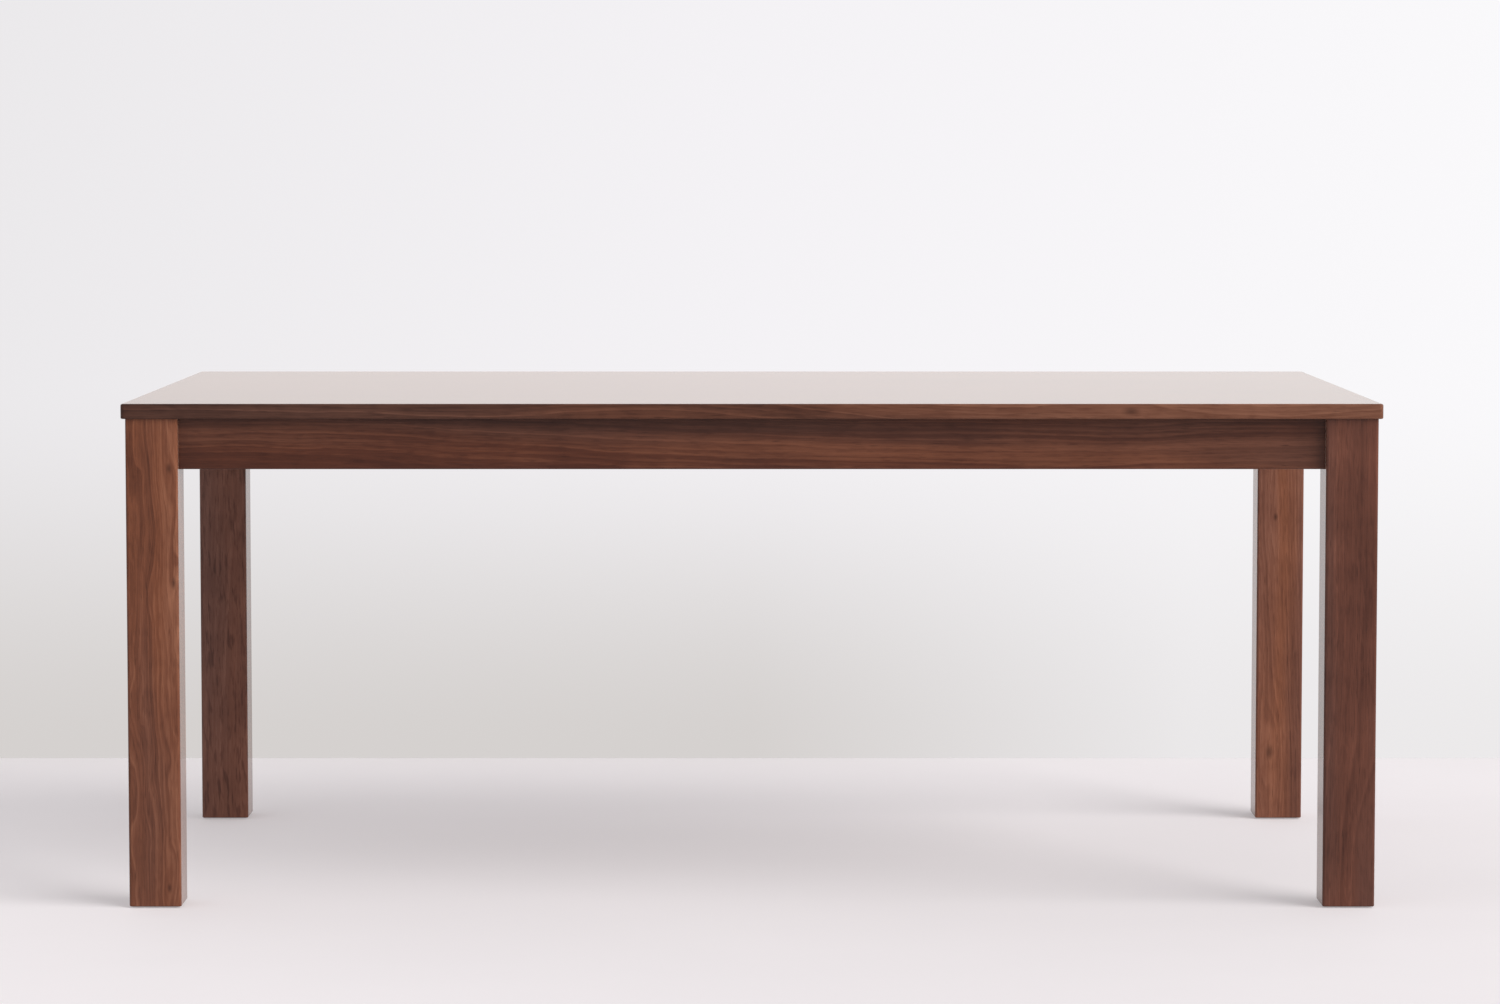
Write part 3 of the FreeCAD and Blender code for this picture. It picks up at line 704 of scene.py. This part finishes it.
def pan_head_screw(shape, radius, length):
    """Crowned head with a tapered cross recess, a plain shank and a point."""
    rings = round_rings(shape, crowned(HEAD_FLAT, radius, HEAD_CROWN) + [
        (HEAD_HEIGHT, radius), (HEAD_HEIGHT, SCREW_RADIUS),
        (length - SCREW_POINT, SCREW_RADIUS), (length, TIP_RADIUS)])
    skin(shape, rings)
    shape.faces.new(rings[-1])
    mouth = recess_outline(shape, 0.0, 1.0)
    bottom = recess_outline(shape, RECESS_DEPTH, RECESS_TAPER)
    skin(shape, [mouth, bottom])
    shape.faces.new(bottom)
    edges = loop_edges(shape, rings[0]) + loop_edges(shape, mouth)
    bmesh.ops.triangle_fill(shape, edges=edges, use_beauty=True, normal=(0.0, 0.0, -1.0))


def detailed(name, node, make, material):
    """Piece that stands for a node of fasteners, with a finely cut one at each of its places."""
    mesh = bpy.data.meshes.new(name)
    whole = bmesh.new()
    for number, points in enumerate(solids(node)):
        place, radius, length = driven(points)
        shape = bmesh.new()
        make(shape, radius, length)
        bmesh.ops.recalc_face_normals(shape, faces=shape.faces)
        shape.transform(place @ Matrix.Rotation(number * SPIN, 4, "Z"))
        shape.to_mesh(mesh)
        shape.free()
        whole.from_mesh(mesh)
    whole.to_mesh(mesh)
    whole.free()
    mesh.shade_smooth()
    mesh.set_sharp_from_angle(angle=SHARP_ANGLE)
    mesh.materials.append(material)
    piece = placed(name, mesh)
    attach(piece, "root")
    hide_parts(node)


# Zinc and nylon

ZINC_NODES = ("hanger_bolts", "flat_washers", "lock_washers", "hex_nuts", "corner_block_screws",
              "cross_rail_screws", "top_clips", "clip_screws", "glide_nails")
ZINC_CLOUD = Noise((90.0, 90.0, 90.0), seed=2, detail=3.0)
ZINC_SCRATCH = Noise((300.0, 2400.0, 900.0), seed=5)
ZINC_TONES = ((0.3, tone(176, 178, 182)), (0.55, tone(198, 197, 190)), (0.75, tone(188, 182, 164)))
ZINC_CLOUD_DULLNESS = (0.2, 0.42)
ZINC_SCRATCH_DULLNESS = (-0.04, 0.08)
ZINC_RELIEF_STRENGTH = 0.15
ZINC_RELIEF_DEPTH = 0.00005

NYLON_GRIT = Noise((900.0, 900.0, 900.0), seed=1, detail=3.0)
NYLON_TONES = ((0.3, tone(34, 30, 28)), (0.7, tone(56, 50, 46)))
NYLON_DULLNESS = (0.4, 0.7)
NYLON_RELIEF_STRENGTH = 0.2
NYLON_RELIEF_DEPTH = 0.00005


def zinc():
    """Bright zinc plate with a faint bluish to yellowish cast and fine scratches."""
    graph = Graph(bpy.data.materials.new("zinc_plate"))
    place = graph.object_place()
    cloud = graph.noise(place, ZINC_CLOUD)
    scratch = graph.noise(place, ZINC_SCRATCH)
    dull = graph.add(graph.between(cloud, *ZINC_CLOUD_DULLNESS),
                     graph.between(scratch, *ZINC_SCRATCH_DULLNESS))
    return graph.show(graph.principled(
        Base_Color=graph.ramp(cloud, ZINC_TONES), Metallic=1.0, Roughness=dull,
        Normal=graph.bump(scratch, ZINC_RELIEF_STRENGTH, ZINC_RELIEF_DEPTH)))


def nylon():
    """Dark moulded nylon with a fine grit."""
    graph = Graph(bpy.data.materials.new("nylon_moulded"))
    grit = graph.noise(graph.object_place(), NYLON_GRIT)
    return graph.show(graph.principled(
        Base_Color=graph.ramp(grit, NYLON_TONES), Roughness=graph.between(grit, *NYLON_DULLNESS),
        Normal=graph.bump(grit, NYLON_RELIEF_STRENGTH, NYLON_RELIEF_DEPTH)))


def dress_hardware():
    """Zinc on the clips and fasteners, fine pieces in place of five plain nodes, and nylon on the feet."""
    plate = zinc()
    for node in ZINC_NODES:
        dress(node, plate)
    detailed("hanger_bolts_threaded", "hanger_bolts", hanger_bolt, plate)
    for node in ("corner_block_screws", "cross_rail_screws", "clip_screws"):
        detailed(node + "_recessed", node, pan_head_screw, plate)
    detailed("glide_nails_domed", "glide_nails", glide_nail, plate)
    glide = nylon()
    for corner in CORNERS:
        dress("foot_glide_" + corner, glide)


# Studio

# Pale surround, at full strength where it is seen and at this level as light
SKY_TONE = tone(240, 239, 240)
SKY_LEVEL = 0.58

# Floor, which glows a little so that shadows on it stay soft
FLOOR_RADIUS = 60.0
FLOOR_SEGMENTS = 96
FLOOR_MOTTLE = Noise((1.4, 1.4, 1.4), seed=4, detail=3.0)
FLOOR_TONES = ((0.35, tone(206, 202, 204)), (0.65, tone(209, 205, 207)))
FLOOR_DULLNESS = 0.75
FLOOR_GLOSS = 0.2
FLOOR_GLOW_TONE = tone(255, 250, 252)
FLOOR_GLOW = 0.18
FLOOR_SEEN_GLOW = 0.3

# Backdrop, with painted light that grows paler towards the right and a painted soft shade low down behind
# the table, in stops as shares of a span about the middle
WALL_Y = 1.22
WALL_HALF_WIDTH = 25.0
WALL_HEIGHT = 5.0
WALL_SPAN = 2.8
WALL_PAINTED_LIGHT_TONES = ((0.0, tone(235, 233, 235)), (0.5, tone(244, 242, 245)), (1.0, tone(250, 249, 251)))
SHADE_HEIGHT = 0.7
SHADE_SPAN = 8.0
MIDDLE_SHARE = 0.5
SHADE_SHARES = ((0.0, 0.0), (0.28, 1.0), (0.5, 1.0), (0.6, 0.4), (0.7, 0.4), (1.0, 0.0))
SHADE_TONE = tone(213, 209, 207)

# Key lamp
KEY_WAY = (-0.76, 0.46, -0.42)
KEY_LEVEL = 3.05
KEY_ANGLE = math.radians(52)
KEY_TONE = (1.0, 0.985, 0.97)

# Camera, in metres and radians, with its lens in millimetres
CAMERA_PLACE = (-0.0028, -7.3946, 1.1035)
CAMERA_PITCH = 0.07374
CAMERA_LENS = 114.38
CAMERA_REACH = 200.0


def one_sided(graph, shader):
    """Shows a surface from its front and lets views from behind it pass."""
    behind = graph.node("ShaderNodeNewGeometry").outputs["Backfacing"]
    clear = graph.node("ShaderNodeBsdfTransparent").outputs[0]
    either = graph.node("ShaderNodeMixShader")
    for socket, value in zip(either.inputs, (behind, shader, clear)):
        graph.feed(socket, value)
    return graph.show(either.outputs[0])


def studio_floor():
    """Wide pale floor, clear from below so that the table's underside can be seen."""
    mesh = bpy.data.meshes.new("studio_floor")
    shape = bmesh.new()
    bmesh.ops.create_circle(shape, cap_ends=True, radius=FLOOR_RADIUS, segments=FLOOR_SEGMENTS)
    shape.to_mesh(mesh)
    shape.free()
    floor = placed("studio_floor", mesh)
    graph = Graph(bpy.data.materials.new("studio_floor"))
    mottle = graph.noise(graph.object_place(), FLOOR_MOTTLE)
    painted = graph.principled(
        Base_Color=graph.ramp(mottle, FLOOR_TONES), Roughness=FLOOR_DULLNESS,
        Specular_IOR_Level=FLOOR_GLOSS, Emission_Color=FLOOR_GLOW_TONE,
        Emission_Strength=graph.between(graph.seen(), FLOOR_GLOW, FLOOR_SEEN_GLOW))
    mesh.materials.append(one_sided(graph, painted))


def studio_backdrop():
    """Pale backdrop that only shows its front, so that it hides nothing in views from behind."""
    corners = [(side * WALL_HALF_WIDTH, WALL_Y, height)
               for side, height in ((-1, 0.0), (1, 0.0), (1, WALL_HEIGHT), (-1, WALL_HEIGHT))]
    mesh = bpy.data.meshes.new("studio_backdrop")
    mesh.from_pydata(corners, [], [(0, 1, 2, 3)])
    wall = placed("studio_backdrop", mesh)
    graph = Graph(bpy.data.materials.new("studio_backdrop"))
    across, _, up = graph.split(graph.object_place())
    # Painted light, paler towards the right, then a painted shade low down behind the table
    colour = graph.ramp(graph.scaled(across, 1 / WALL_SPAN, MIDDLE_SHARE), WALL_PAINTED_LIGHT_TONES)
    share = graph.ramp(graph.scaled(across, 1 / SHADE_SPAN, MIDDLE_SHARE), SHADE_SHARES)
    shade = graph.math("MULTIPLY", graph.step(up, SHADE_HEIGHT, 0.0), share)
    painted = graph.node("ShaderNodeEmission")
    graph.feed(painted.inputs["Color"], graph.blended(shade, colour, SHADE_TONE))
    graph.feed(painted.inputs["Strength"], graph.between(graph.seen(), SKY_LEVEL, 1.0))
    mesh.materials.append(one_sided(graph, painted.outputs[0]))


def studio_light():
    """Even soft light all round, and a broad low key lamp at the front right, which no gloss mirrors."""
    world = bpy.data.worlds.new("studio_world")
    bpy.context.scene.world = world
    graph = Graph(world)
    sky = graph.node("ShaderNodeBackground")
    graph.feed(sky.inputs["Color"], SKY_TONE)
    graph.feed(sky.inputs["Strength"], graph.between(graph.seen(), SKY_LEVEL, 1.0))
    graph.show(sky.outputs[0], "ShaderNodeOutputWorld")
    key = bpy.data.lights.new("key_lamp", "SUN")
    key.energy = KEY_LEVEL
    key.angle = KEY_ANGLE
    key.color = KEY_TONE
    made = placed("key_lamp", key)
    made.rotation_euler = Vector(KEY_WAY).to_track_quat("-Z", "Y").to_euler()
    made.visible_glossy = False


def camera():
    """Camera at the photograph's place."""
    lens = bpy.data.cameras.new("camera")
    lens.lens = CAMERA_LENS
    lens.clip_end = CAMERA_REACH
    made = placed("camera", lens)
    made.location = CAMERA_PLACE
    made.rotation_euler = (math.pi / 2 - CAMERA_PITCH, 0.0, 0.0)
    bpy.context.scene.camera = made


dress_walnut()
dress_hidden_frame()
dress_hardware()
studio_floor()
studio_backdrop()
studio_light()
camera()
bpy.context.scene.view_settings.view_transform = "Standard"
